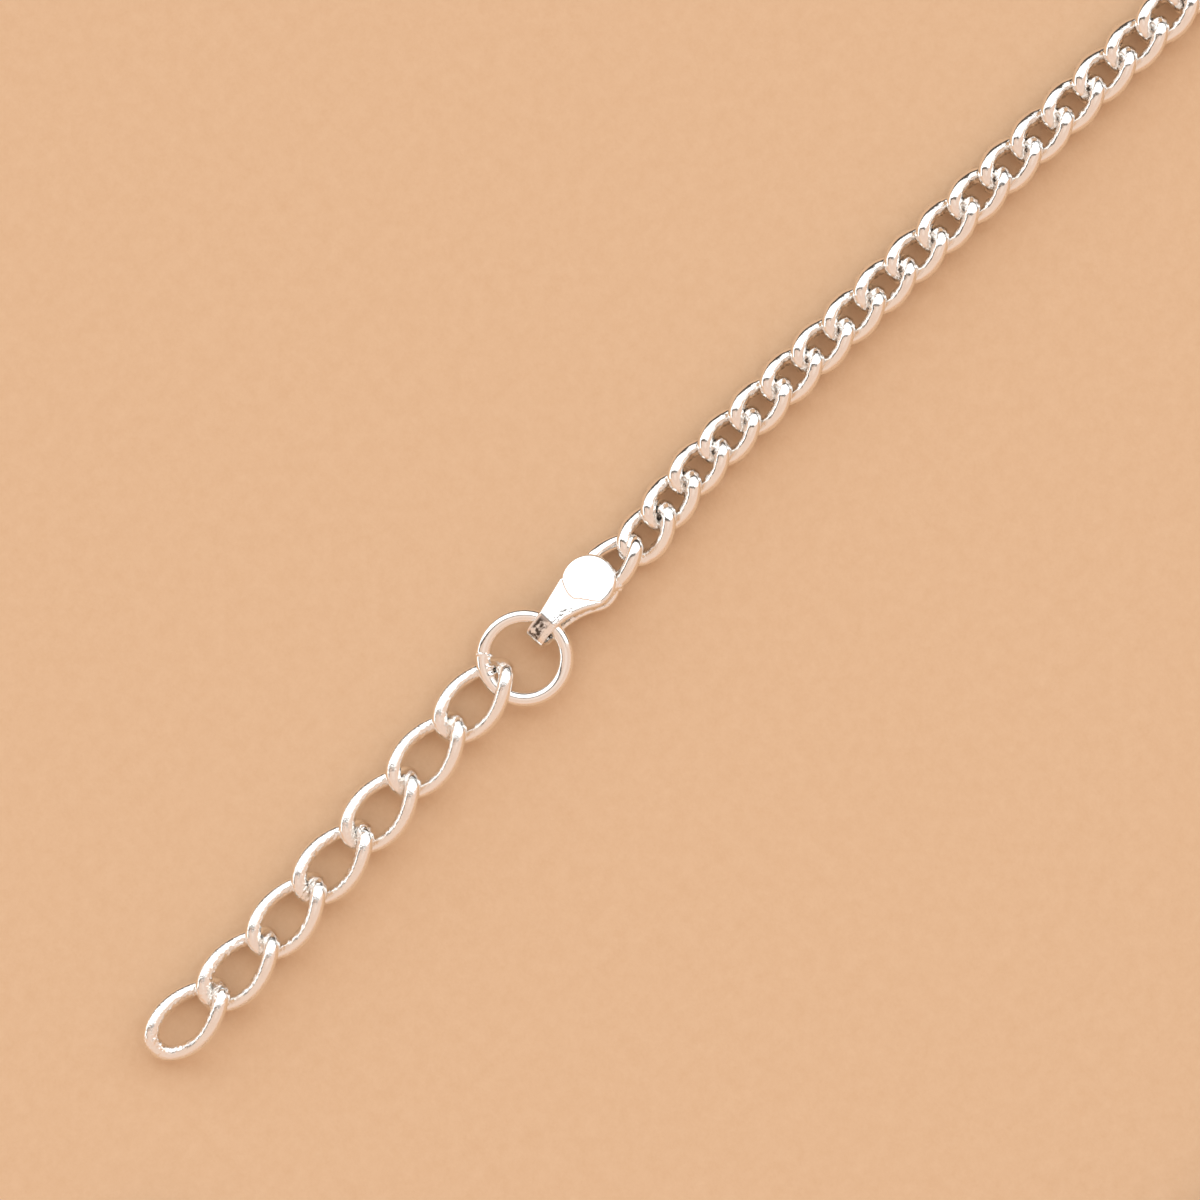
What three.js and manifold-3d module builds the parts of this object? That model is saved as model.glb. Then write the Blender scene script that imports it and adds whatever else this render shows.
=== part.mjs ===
// Baby bracelet: a fine silver curb chain laid round on a surface, unfastened.
// One end carries a folded leaf tag, a jump ring and a seven-link extension; the other a spring-ring clasp.
// Millimetres, +Z up. The bracelet lies on z = 0. X runs along its straight stretch, from the free end
// of the extension towards the chain, and the loop closes on the -Y side.
import * as THREE from 'three';
import { mergeVertices } from 'three/addons/utils/BufferGeometryUtils.js';
import Module from 'manifold-3d';

const wasm = await Module();
wasm.setup();

// --- driving dimensions (mm) -------------------------------------------------------------------

// Curb chain: one tube stands for the run of links.
const CHAIN_WIDTH = 1.82;
const CHAIN_HEIGHT = 1.26;
const CHAIN_WIRE = 0.47;
const CHAIN_STEPS = 72;

// Chain link, used once as the end link that is soldered into the tag.
const CHAIN_LINK_LENGTH = 2.66;
const CHAIN_LINK_FULLNESS = 0.85;

// Jump ring, centred on the layout's own origin.
const RING_MEAN_RADIUS = 1.47;
const RING_WIRE = 0.5;
const RING_CENTRE_Z = 0.798;

// Extension links: oval wire links with a twist, so that the row lies flat.
const EXT_LENGTH = 3.64;
const EXT_WIDTH = 2.28;
const EXT_WIRE = 0.5;
const EXT_TWIST = 45;
const EXT_ROLL = -18;
const EXT_FULLNESS = 0.9;
const EXT_CENTRE_Z = 0.765;

// Leaf tag, in its own frame: two leaves of sheet, one over the other, joined by a round fold. The lower
// leaf lies on z = 0 and the upper one slopes down from the fold to the solder.
const TAG_SHEET = 0.28;
const TAG_GAP = 0.73;
const TAG_SLOPE = 4.2;
const PAD_RADIUS = 0.99;
const WAIST_HALF = 0.36;
const WAIST_X = -2.211;
const FLARE_FROM_PAD = 1.45;
const LOWER_TANGENT_DEG = -123.5;
const UPPER_TANGENT_DEG = 115.7;
const LEAF_LAP = 0.05;
const SOLDER_Z = 0.56;
const BEAD = { x: 0.67, y: -0.76, radius: 0.3 };
const FILLET = { x: 0.05, y: -0.1, radius: 0.5, length: 0.6 };

// How the tag lies: the centre of its lower pad, and its lean in degrees. It leans over on its +Y edge.
const TAG_PLACE = { x: 3.568, y: 0.054, z: 0.251, roll: -14.5, pitch: -1.9, yaw: 2.4 };

// End link of the chain, soldered between the pads: it leans with the tag there and more at its free end.
const LINK_PLACE = { x: 4.76, y: 0.1, z: 0.75, pitch: 2 };
const LINK_LEAN_AT_TAG = -14.5;
const LINK_LEAN_AT_END = -62;
const LINK_TWIST_FROM = -0.3;

// Spring-ring clasp: a closed ring with a small eye and a thumb nub.
const CLASP_MEAN_RADIUS = 2.05;
const CLASP_WIRE = 0.9;
const EYE_MEAN_RADIUS = 0.72;
const EYE_WIRE = 0.5;
const NUB_RADIUS = 0.38;
const NUB_ANGLE = 126;
const CLASP_PLACE = { x: -25.41, y: -6.35, turn: 118.8 };

// The first extension link is tipped a little by the ring that it hangs on, in degrees.
const FIRST_LINK_TIP = { roll: -2.45, pitch: -1.7 };

// Where each extension link lies: centre along X, centre across Y, turn in degrees.
const EXTENSION_ROW = [
  { along: -2.30, across: 0.18, turn: 3.0 },
  { along: -4.87, across: -0.01, turn: 5.0 },
  { along: -7.42, across: -0.22, turn: 4.0 },
  { along: -9.94, across: -0.36, turn: 2.5 },
  { along: -12.46, across: -0.54, turn: 4.5 },
  { along: -15.02, across: -0.66, turn: 0.5 },
  { along: -17.57, across: -0.62, turn: -2.5 },
];

// Route of the chain from the tag's end link round to the clasp, as [x, y].
const CHAIN_ROUTE = [
  [6.15, 0.04], [7.8, 0.28], [9.5, 0.42], [12, 0.42], [16, 0.36], [20, 0.3], [24, 0.22], [28, 0.14],
  [31.5, 0.05], [35, -0.15], [38.3, -1.4], [40.9, -3.9], [42, -7.4], [41.4, -11.1], [39.2, -14.3],
  [35.8, -17.1], [31.6, -19.8], [26.9, -22.5], [21.8, -25.3], [16.4, -28.1], [10.8, -30.5], [5.1, -32],
  [-0.4, -31.9], [-5.4, -30.2], [-9.8, -27.1], [-13.8, -23.1], [-17.5, -18.7], [-20.8, -14.3],
  [-23.35, -10.1],
];

// --- helpers -----------------------------------------------------------------------------------

function silver(colour, roughness) {
  return new THREE.MeshStandardMaterial({ color: colour, metalness: 1, roughness });
}

// Closed mesh with shared corners, ready for a cut or a join.
function welded(geometry) {
  const bare = geometry.clone();
  bare.deleteAttribute('normal');
  bare.deleteAttribute('uv');
  return mergeVertices(bare, 1e-5);
}

function toSolid(geometry) {
  const shape = welded(geometry);
  return new wasm.Manifold(new wasm.Mesh({
    numProp: 3,
    vertProperties: Float32Array.from(shape.attributes.position.array),
    triVerts: Uint32Array.from(shape.index.array),
  }));
}

function toGeometry(solid) {
  const mesh = solid.getMesh();
  const geometry = new THREE.BufferGeometry();
  geometry.setAttribute('position', new THREE.BufferAttribute(mesh.vertProperties, 3));
  geometry.setIndex(new THREE.BufferAttribute(mesh.triVerts, 1));
  geometry.computeVertexNormals();
  return geometry;
}

function joined(geometries) {
  const solids = geometries.map(toSolid);
  return toGeometry(solids.reduce((sum, next) => sum.add(next)));
}

// Centreline of a twisted wire link. The flat oval is x = a cos t, radius = b |sin t|^fullness, and
// the plane of each cross cut turns about X by leanAt(cos t).
class LinkCurve extends THREE.Curve {
  constructor(length, width, wire, fullness, leanAt) {
    super();
    this.halfLength = (length - wire) / 2;
    this.halfWidth = (width - wire) / 2;
    this.fullness = fullness;
    this.leanAt = leanAt;
  }

  getPoint(t, target = new THREE.Vector3()) {
    const angle = 2 * Math.PI * t;
    const c = Math.cos(angle);
    const s = Math.sin(angle);
    const radius = this.halfWidth * Math.sign(s) * Math.abs(s) ** this.fullness;
    const lean = THREE.MathUtils.degToRad(this.leanAt(c));
    return target.set(this.halfLength * c, radius * Math.cos(lean), radius * Math.sin(lean));
  }
}

// Tube round a closed curve.
function loopOfWire(curve, wire) {
  return new THREE.TubeGeometry(curve, 40, wire / 2, 8, true);
}

// --- the pieces --------------------------------------------------------------------------------

// The chain as a tube of eight flat sides, one of them lying on the surface.
function chainRun() {
  const section = new THREE.Shape();
  const cut = Math.tan(Math.PI / 8);
  const corners = [[1, -cut], [1, cut], [cut, 1], [-cut, 1], [-1, cut], [-1, -cut], [-cut, -1], [cut, -1]];
  section.setFromPoints(corners.map(([up, side]) => (
    new THREE.Vector2(up * CHAIN_HEIGHT / 2, side * CHAIN_WIDTH / 2))));
  const points = CHAIN_ROUTE.map(([x, y]) => new THREE.Vector3(x, y, CHAIN_HEIGHT / 2));
  const path = new THREE.CatmullRomCurve3(points, false, 'catmullrom', 0.5);
  return new THREE.ExtrudeGeometry(section, { steps: CHAIN_STEPS, extrudePath: path });
}

// Outline of one leaf seen from above: a narrow waist that flares into the round pad. The edge on +Y
// runs straight, the one on -Y is hollow.
function leafOutline() {
  const lower = THREE.MathUtils.degToRad(LOWER_TANGENT_DEG);
  const upper = THREE.MathUtils.degToRad(UPPER_TANGENT_DEG);
  const outline = new THREE.Shape();
  outline.moveTo(WAIST_X, -WAIST_HALF);
  outline.quadraticCurveTo(
    -FLARE_FROM_PAD,
    -WAIST_HALF,
    PAD_RADIUS * Math.cos(lower),
    PAD_RADIUS * Math.sin(lower),
  );
  outline.absarc(0, 0, PAD_RADIUS, lower, upper, false);
  outline.lineTo(WAIST_X, WAIST_HALF);
  return outline;
}

function leaf(bottomZ, slope) {
  const sheet = new THREE.ExtrudeGeometry(leafOutline(), {
    depth: TAG_SHEET, bevelEnabled: false, curveSegments: 20,
  });
  sheet.translate(-WAIST_X, 0, 0);
  sheet.rotateY(THREE.MathUtils.degToRad(slope));
  return sheet.translate(WAIST_X, 0, bottomZ);
}

// The fold: half a ring of sheet seen from the side, drawn across the waist. Its ends lap into the leaves.
function fold() {
  const outer = TAG_SHEET + TAG_GAP / 2;
  const profile = new THREE.Shape();
  profile.absarc(0, 0, outer, Math.PI / 2, 3 * Math.PI / 2, false);
  profile.lineTo(LEAF_LAP, -outer);
  profile.lineTo(LEAF_LAP, -TAG_GAP / 2);
  profile.lineTo(0, -TAG_GAP / 2);
  profile.absarc(0, 0, TAG_GAP / 2, 3 * Math.PI / 2, Math.PI / 2, true);
  profile.lineTo(LEAF_LAP, TAG_GAP / 2);
  profile.lineTo(LEAF_LAP, outer);
  const bend = new THREE.ExtrudeGeometry(profile, {
    depth: 2 * WAIST_HALF, bevelEnabled: false, curveSegments: 10,
  });
  bend.rotateX(Math.PI / 2);
  return bend.translate(WAIST_X, WAIST_HALF, outer);
}

// Solder: a bead where the link's wire leaves the pads, and a fillet hidden between them.
function solder() {
  const bead = new THREE.SphereGeometry(BEAD.radius, 12, 8);
  bead.translate(BEAD.x, BEAD.y, SOLDER_Z);
  const fillet = new THREE.CylinderGeometry(FILLET.radius, FILLET.radius, FILLET.length, 16);
  fillet.rotateX(Math.PI / 2);
  fillet.translate(FILLET.x, FILLET.y, SOLDER_Z);
  return [bead, fillet];
}

// The chain's end link, with its wire turned further over at the end that takes the next link.
function solderedLink() {
  const twist = LINK_LEAN_AT_END - LINK_LEAN_AT_TAG;
  const lean = (c) => (
    LINK_LEAN_AT_TAG + twist * Math.max(0, (c - LINK_TWIST_FROM) / (1 - LINK_TWIST_FROM)));
  const curve = new LinkCurve(CHAIN_LINK_LENGTH, CHAIN_WIDTH, CHAIN_WIRE, CHAIN_LINK_FULLNESS, lean);
  const wire = loopOfWire(curve, CHAIN_WIRE);
  wire.rotateY(THREE.MathUtils.degToRad(LINK_PLACE.pitch));
  return wire.translate(LINK_PLACE.x, LINK_PLACE.y, LINK_PLACE.z);
}

function leafTag() {
  const upper = leaf(TAG_SHEET + TAG_GAP, TAG_SLOPE);
  const lower = leaf(0, 0);
  const folded = joined([upper, lower, fold(), ...solder()]);
  folded.rotateX(THREE.MathUtils.degToRad(TAG_PLACE.roll));
  folded.rotateY(THREE.MathUtils.degToRad(TAG_PLACE.pitch));
  folded.rotateZ(THREE.MathUtils.degToRad(TAG_PLACE.yaw));
  folded.translate(TAG_PLACE.x, TAG_PLACE.y, TAG_PLACE.z);
  return joined([folded, solderedLink()]);
}

function jumpRing() {
  return new THREE.TorusGeometry(RING_MEAN_RADIUS, RING_WIRE / 2, 10, 40);
}

function extensionLink() {
  const lean = (c) => EXT_ROLL - EXT_TWIST * c;
  const curve = new LinkCurve(EXT_LENGTH, EXT_WIDTH, EXT_WIRE, EXT_FULLNESS, lean);
  return loopOfWire(curve, EXT_WIRE);
}

// The clasp lies flat, its eye towards -X.
function clasp() {
  const ring = new THREE.TorusGeometry(CLASP_MEAN_RADIUS, CLASP_WIRE / 2, 10, 36);
  const eye = new THREE.TorusGeometry(EYE_MEAN_RADIUS, EYE_WIRE / 2, 8, 20);
  eye.translate(-(CLASP_MEAN_RADIUS + CLASP_WIRE / 2 + EYE_MEAN_RADIUS), 0, 0);
  const nub = new THREE.SphereGeometry(NUB_RADIUS, 12, 8);
  nub.translate(CLASP_MEAN_RADIUS, 0, CLASP_WIRE / 2);
  nub.rotateZ(THREE.MathUtils.degToRad(NUB_ANGLE));
  return joined([ring, eye, nub]);
}

// --- the bracelet ------------------------------------------------------------------------------

const bracelet = new THREE.Group();

function add(name, mesh) {
  mesh.name = name;
  bracelet.add(mesh);
  return mesh;
}

add('chain_run', new THREE.Mesh(chainRun(), silver(0xe9e7e5, 0.12)));
add('leaf_tag', new THREE.Mesh(leafTag(), silver(0xefeeec, 0.1)));
const ringMesh = add('jump_ring', new THREE.Mesh(jumpRing(), silver(0xe6e4e2, 0.14)));
ringMesh.position.set(0, 0, RING_CENTRE_Z);

EXTENSION_ROW.forEach((place, index) => {
  const link = add(`extension_link_${index + 1}`, new THREE.Mesh(extensionLink(), silver(0xe6e4e2, 0.2)));
  const tip = index === 0 ? FIRST_LINK_TIP : { roll: 0, pitch: 0 };
  link.rotation.set(...[tip.roll, tip.pitch, place.turn].map(THREE.MathUtils.degToRad), 'ZYX');
  link.position.set(place.along, place.across, EXT_CENTRE_Z);
});

const claspMesh = add('clasp', new THREE.Mesh(clasp(), silver(0xe6e4e2, 0.14)));
claspMesh.position.set(CLASP_PLACE.x, CLASP_PLACE.y, CLASP_WIRE / 2);
claspMesh.rotation.z = THREE.MathUtils.degToRad(CLASP_PLACE.turn);

// Put the origin under the middle of the whole bracelet, on the surface.
bracelet.updateMatrixWorld(true);
const box = new THREE.Box3().setFromObject(bracelet, true);
const middle = box.getCenter(new THREE.Vector3());
bracelet.position.set(-middle.x, -middle.y, -box.min.z);

export default bracelet;
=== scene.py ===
import math

import bmesh
import bpy
import numpy as np
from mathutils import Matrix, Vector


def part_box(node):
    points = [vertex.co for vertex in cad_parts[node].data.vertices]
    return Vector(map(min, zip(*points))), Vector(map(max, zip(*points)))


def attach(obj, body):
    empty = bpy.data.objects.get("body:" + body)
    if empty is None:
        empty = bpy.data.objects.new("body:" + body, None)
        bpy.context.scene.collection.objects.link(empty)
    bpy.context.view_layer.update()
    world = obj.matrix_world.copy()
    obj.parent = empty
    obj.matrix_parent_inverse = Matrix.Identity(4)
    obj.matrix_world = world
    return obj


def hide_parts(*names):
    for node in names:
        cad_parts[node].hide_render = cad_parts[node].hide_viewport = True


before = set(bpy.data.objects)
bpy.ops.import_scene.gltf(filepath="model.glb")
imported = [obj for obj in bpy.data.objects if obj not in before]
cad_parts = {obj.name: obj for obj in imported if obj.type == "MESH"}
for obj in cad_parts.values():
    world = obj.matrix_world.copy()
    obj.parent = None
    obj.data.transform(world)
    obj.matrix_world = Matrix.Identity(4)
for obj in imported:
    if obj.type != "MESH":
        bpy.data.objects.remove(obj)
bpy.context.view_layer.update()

# --- The surface, the light and the camera ------------------------------------------------------
# Smooth uncoated paper in a pale apricot, lit by one wide soft box beyond the chain and by the warm
# walls and ceiling of the room. The camera looks straight down.

MM = 0.001  # every length below is in millimetres, apart from the paper's half side
PAPER_HALF = 3.0
PAPER_DROP = 0.02
CLOUD_SIZE = 0.6
TOOTH_SIZE, TOOTH_DEEP = 0.25, 0.03


def linear(hex_colour):
    """sRGB hex to linear RGBA: each channel over 12.92 near black, else the 2.4 power curve."""
    channels = np.array([int(hex_colour[i:i + 2], 16) for i in (1, 3, 5)]) / 255
    curved = ((channels + 0.055) / 1.055) ** 2.4
    return (*np.where(channels <= 0.04045, channels / 12.92, curved), 1.0)


def add_node(tree, kind, settings, links=()):
    """Adds a node, sets its sockets and properties, and links (socket, source node, output) triples to it."""
    node = tree.nodes.new(kind)
    for key, value in settings.items():
        if isinstance(key, int) or key in node.inputs:
            node.inputs[key].default_value = value
        else:
            setattr(node, key, value)
    for socket, source, output in links:
        tree.links.new(source.outputs[output], node.inputs[socket])
    return node


def new_material(name):
    """A node material with an empty tree."""
    material = bpy.data.materials.new(name)
    material.use_nodes = True
    material.node_tree.nodes.clear()
    return material, material.node_tree


def paper_material():
    """Uncoated paper: matt all over, with a faint cloudiness and the tooth of its fibres. Real fibres are
    finer than the tooth's size, which is as coarse as it needs to be to show."""
    material, tree = new_material("apricot_paper")
    place = add_node(tree, "ShaderNodeTexCoord", {})
    cloud = add_node(tree, "ShaderNodeTexNoise",
                     {"Scale": 1 / (CLOUD_SIZE * MM), "Detail": 6.0, "Roughness": 0.8},
                     [("Vector", place, "Object")])
    tint = add_node(tree, "ShaderNodeMix",
                    {"data_type": "RGBA", 6: linear("#d8b48f"), 7: linear("#e8caa9")}, [(0, cloud, "Fac")])
    tooth = add_node(tree, "ShaderNodeTexNoise", {"Scale": 1 / (TOOTH_SIZE * MM), "Detail": 3.0},
                     [("Vector", place, "Object")])
    bump = add_node(tree, "ShaderNodeBump", {"Strength": 0.5, "Distance": TOOTH_DEEP * MM},
                    [("Height", tooth, "Fac")])
    matt = add_node(tree, "ShaderNodeBsdfPrincipled", {"Roughness": 0.95, "Specular IOR Level": 0.2},
                    [("Base Color", tint, 2), ("Normal", bump, "Normal")])
    add_node(tree, "ShaderNodeOutputMaterial", {}, [("Surface", matt, "BSDF")])
    return material


corners = np.array([[-1, -1], [1, -1], [1, 1], [-1, 1]]) * PAPER_HALF
floor_mesh = bpy.data.meshes.new("floor")
floor_mesh.from_pydata([(x, y, -PAPER_DROP * MM) for x, y in corners.tolist()], [], [(0, 1, 2, 3)])
floor_mesh.materials.append(paper_material())
floor = bpy.data.objects.new("floor", floor_mesh)
bpy.context.scene.collection.objects.link(floor)

# Everything is laid out from the middle of the jump ring. X runs along the straight stretch of the
# bracelet towards the chain, Y across it, and Z up from the surface it lies on. The view's middle
# lies a little along the chain from the ring, and the view is turned so that the chain crosses it.
VIEW_WIDTH = 42.857
VIEW_MIDDLE = [3.349, -0.455, 0.6]
VIEW_TURN = -45
LENS = 120.0
SENSOR = 36.0
CLIP_START = 0.01

ring_low, ring_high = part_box("jump_ring")
ring_middle = np.array([ring_low.x + ring_high.x, ring_low.y + ring_high.y, 0.0]) / 2


def from_layout(points):
    """Layout millimetres to metres in the frame: the ring's middle plus a thousandth of each number."""
    return ring_middle + np.asarray(points, float) * MM


camera_data = bpy.data.cameras.new("camera")
camera_data.lens = LENS
camera_data.sensor_width = SENSOR
camera_data.clip_start = CLIP_START
camera = bpy.data.objects.new("camera", camera_data)
camera.location = from_layout(VIEW_MIDDLE) + np.array([0, 0, VIEW_WIDTH * LENS / SENSOR * MM])
camera.rotation_euler = (0, 0, math.radians(VIEW_TURN))
bpy.context.scene.collection.objects.link(camera)
bpy.context.scene.camera = camera

# The soft box, its black rim and the room are shares of all directions. A straight edge is the set of
# directions at right angles to one vector, its facing. The box has a main pane and a low return pane.
# Headings, tilts and rims are in degrees, and the soft edges are sines of the angle to the edge.
BOX_HEADING, BOX_TOP_TILT = 33, 16
RETURN_HEADING, RETURN_TILT = 135, 71
SIDES_HEADING = 61
FOOT_HEADING, FOOT_TILT = 25, 70
RIM_WIDE, RETURN_RIM_WIDE = 8, 12
PANE_SOFT = (-0.005, 0.01)
SIDES_SOFT, FOOT_SOFT, RIM_SOFT, RETURN_RIM_SOFT = 0.05, 0.04, 0.02, 0.04
BOX_GLOW = 1.7
RIM_BLACK = "#4a4038"
ROOM = [(0.0, "#e0ab80"), (0.15, "#f2c4a2"), (0.5, "#f6dac6"), (0.88, "#f1d3c0"), (1.0, "#fbe6d8")]


def facing(heading, tilt):
    """Unit vector that leans from straight up by tilt, towards the heading, both in degrees."""
    heading, tilt = np.radians([heading, tilt])
    return (math.sin(tilt) * math.cos(heading), math.sin(tilt) * math.sin(heading), math.cos(tilt))


world = bpy.data.worlds.new("room")
world.use_nodes = True
tree = world.node_tree
tree.nodes.clear()
way = add_node(tree, "ShaderNodeTexCoord", {})
height = add_node(tree, "ShaderNodeSeparateXYZ", {}, [(0, way, "Generated")])
room = add_node(tree, "ShaderNodeValToRGB", {}, [("Fac", height, "Z")])
for position, colour in ROOM[1:-1]:
    room.color_ramp.elements.new(position)
for stop, (position, colour) in zip(room.color_ramp.elements, ROOM):
    stop.position = position
    stop.color = linear(colour)


def past_edge(edge_facing, start, stop):
    """Share from 0 to 1 of how far a direction lies past a straight edge: its dot product with the edge's
    facing, stretched between two sines."""
    reach = add_node(tree, "ShaderNodeVectorMath", {"operation": "DOT_PRODUCT", 1: edge_facing},
                     [(0, way, "Generated")])
    return add_node(tree, "ShaderNodeMapRange", {"From Min": start, "From Max": stop},
                    [("Value", reach, "Value")])


top_edge, return_edge = facing(BOX_HEADING, BOX_TOP_TILT + 90), facing(RETURN_HEADING, RETURN_TILT + 90)
top_rim, return_rim = -math.sin(math.radians(RIM_WIDE)), -math.sin(math.radians(RETURN_RIM_WIDE))
sides = past_edge(facing(SIDES_HEADING, 90), 0.0, SIDES_SOFT)
foot = past_edge(facing(FOOT_HEADING, FOOT_TILT - 90), 0.0, FOOT_SOFT)
panes = add_node(tree, "ShaderNodeMath", {"operation": "MAXIMUM"},
                 [(0, past_edge(top_edge, *PANE_SOFT), 0), (1, past_edge(return_edge, *PANE_SOFT), 0)])
rims = add_node(tree, "ShaderNodeMath", {"operation": "MAXIMUM"},
                [(0, past_edge(top_edge, top_rim - RIM_SOFT, top_rim), 0),
                 (1, past_edge(return_edge, return_rim - RETURN_RIM_SOFT, return_rim), 0)])
rim = add_node(tree, "ShaderNodeMath", {"operation": "MULTIPLY"}, [(0, rims, 0), (1, sides, 0)])
between = add_node(tree, "ShaderNodeMath", {"operation": "MULTIPLY"}, [(0, panes, 0), (1, sides, 0)])
box = add_node(tree, "ShaderNodeMath", {"operation": "MULTIPLY"}, [(0, between, 0), (1, foot, 0)])
dark = add_node(tree, "ShaderNodeMix", {"data_type": "RGBA", 7: linear(RIM_BLACK)},
                [(0, rim, 0), (6, room, "Color")])
lit = add_node(tree, "ShaderNodeMix", {"data_type": "RGBA", 7: (BOX_GLOW, BOX_GLOW, BOX_GLOW, 1.0)},
               [(0, box, 0), (6, dark, 2)])
glow = add_node(tree, "ShaderNodeBackground", {"Strength": 1.0}, [("Color", lit, 2)])
add_node(tree, "ShaderNodeOutputWorld", {}, [("Surface", glow, "Background")])
bpy.context.scene.world = world
bpy.context.scene.view_settings.view_transform = "Standard"

# --- The chain ----------------------------------------------------------------------------------
# Fine curb chain of sterling silver: round wire wound into ovals, each link soldered shut, then the
# whole run twisted until the links lie flat in one another. It is polished bright.

CHAIN_WIRE = 0.55
CHAIN_LENGTH = 2.67
CHAIN_WIDTH = 1.91
CHAIN_FULLNESS = 0.72
CHAIN_TWIST = 48
CHAIN_ROLL = -13
CHAIN_YAW = -0.8
CHAIN_MIDDLE_Z = 0.685
CHAIN_STEPS, CHAIN_AROUND = 64, 16
LINK_COUNT = 81
FIRST_LINK_AT = 0.12
FIRST_PITCH = 1.47
LAST_LINK_BACK = 0.24
WOBBLE_SEED, WOBBLE_ROLL, WOBBLE_YAW = 7, 1.2, 0.8

CHAIN_ROUTE = np.array([
    [6.15, 0.04], [7.8, 0.28], [9.5, 0.42], [12, 0.42], [16, 0.36], [20, 0.3], [24, 0.22], [28, 0.14],
    [31.5, 0.05], [35, -0.15], [38.3, -1.4], [40.9, -3.9], [42, -7.4], [41.4, -11.1], [39.2, -14.3],
    [35.8, -17.1], [31.6, -19.8], [26.9, -22.5], [21.8, -25.3], [16.4, -28.1], [10.8, -30.5], [5.1, -32],
    [-0.4, -31.9], [-5.4, -30.2], [-9.8, -27.1], [-13.8, -23.1], [-17.5, -18.7], [-20.8, -14.3],
    [-23.35, -10.1],
])
ROUTE_STEPS = 40

# How much thicker the wire is at both hooks, and inside the hook ahead where the solder is, as shares
# of its radius. The powers set how soon that fades along the link.
HOOK_SWELL, HOOK_POWER = 0.05, 8
SOLDER_SWELL, SOLDER_POWER = 0.26, 10

# The cast skin that polishing did not reach. Its grains keep to the inner side of the wire, a little
# past its top and bottom, and to the hooks, and thin out between patches.
INNER_PAST, INNER_POWER = 0.25, 1.3
HOOK_REACH, HOOK_GRAIN = 0.15, 0.5
PATCH_CELLS = (9, 2)
PATCH_MIDDLE, PATCH_SWING, PATCH_LEAST = 0.5, 0.9, 0.35
SMOOTH = 0.1
CHAIN_GRAIN = 0.9
CHAIN_GRAIN_SEED = 2
CHAIN_GRAIN_HIGH = 0.07
CHAIN_SEEDS = (31, 32, 33)

# Silver is nearly white. Its gloss is a little smeared by the polishing wheel, in streaks half a
# millimetre wide, between these shares of the polish.
SILVER = "#f7f5f2"
POLISH = 0.12
SMEAR_SIZE, SMEAR_LEAST, SMEAR_MOST = 0.5, 0.6, 1.5

SAME_POINT = 0.0005


def mesh_piece(name, points, faces, material, slot, *nodes, **shares):
    """Makes one smooth-shaded mesh of layout points, rides it on the part and puts it in place of CAD
    nodes. Points that meet at a pole become one. Each share is a number at each point, which the material
    reads by its name."""
    mesh = bpy.data.meshes.new(name)
    mesh.from_pydata(from_layout(points).tolist(), [], faces.tolist())
    for key, share in shares.items():
        mesh.attributes.new(key, "FLOAT", "POINT").data.foreach_set("value", np.float32(share).ravel())
    form = bmesh.new()
    form.from_mesh(mesh)
    bmesh.ops.remove_doubles(form, verts=form.verts, dist=SAME_POINT * MM)
    form.to_mesh(mesh)
    form.free()
    mesh.shade_smooth()
    mesh.materials.append(material)
    piece = bpy.data.objects.new(name, mesh)
    bpy.context.scene.collection.objects.link(piece)
    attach(piece, "root")
    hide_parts(*nodes)
    return piece


def smooth_route(corners, steps):
    """Hermite spline through the corners, whose slope at each is half the step from its last to its next."""
    ends = np.vstack([2 * corners[0] - corners[1], corners, 2 * corners[-1] - corners[-2]])
    slopes = (ends[2:] - ends[:-2]) / 2
    t = (np.arange(steps) / steps)[None, :, None]
    start, stop = corners[:-1, None], corners[1:, None]
    spans = ((2 * t**3 - 3 * t**2 + 1) * start + (t**3 - 2 * t**2 + t) * slopes[:-1, None]
             + (3 * t**2 - 2 * t**3) * stop + (t**3 - t**2) * slopes[1:, None])
    return np.vstack([spans.reshape(-1, 2), corners[-1:]])


def along_route(route, distances):
    """Place and heading at given distances along a route, from its summed steps, and its whole length."""
    steps = np.linalg.norm(np.diff(route, axis=0), axis=1)
    mileage = np.concatenate([[0], np.cumsum(steps)])
    heading = np.unwrap(np.arctan2(*np.gradient(route, axis=0).T[::-1]))
    place = np.stack([np.interp(distances, mileage, route[:, k]) for k in (0, 1)], -1)
    return place, np.interp(distances, mileage, heading), mileage[-1]


def turned(points, axis, degrees):
    """Turns points about one axis (0, 1 or 2) by the right-hand rule. Degrees may differ from point to
    point."""
    angle = np.radians(degrees)
    a, b = (axis + 1) % 3, (axis + 2) % 3
    result = np.array(points, float)
    result[..., a] = points[..., a] * np.cos(angle) - points[..., b] * np.sin(angle)
    result[..., b] = points[..., a] * np.sin(angle) + points[..., b] * np.cos(angle)
    return result


def twisted_oval(length, width, wire, fullness, lean_at, steps):
    """Middle line of a twisted oval link, and the direction across its own flat at each point. x is
    a cos t, the radius is b times the fullness power of sin t, and both turn about x by the lean, in
    degrees, that belongs to cos t."""
    t = 2 * np.pi * np.arange(steps) / steps
    x = (length - wire) / 2 * np.cos(t)
    radius = (width - wire) / 2 * np.sign(np.sin(t)) * np.abs(np.sin(t)) ** fullness
    lean = np.radians(lean_at(np.cos(t)))
    line = np.stack([x, radius * np.cos(lean), radius * np.sin(lean)], -1)
    across = np.stack([0 * t, -np.sin(lean), np.cos(lean)], -1)
    return line, across


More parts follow.
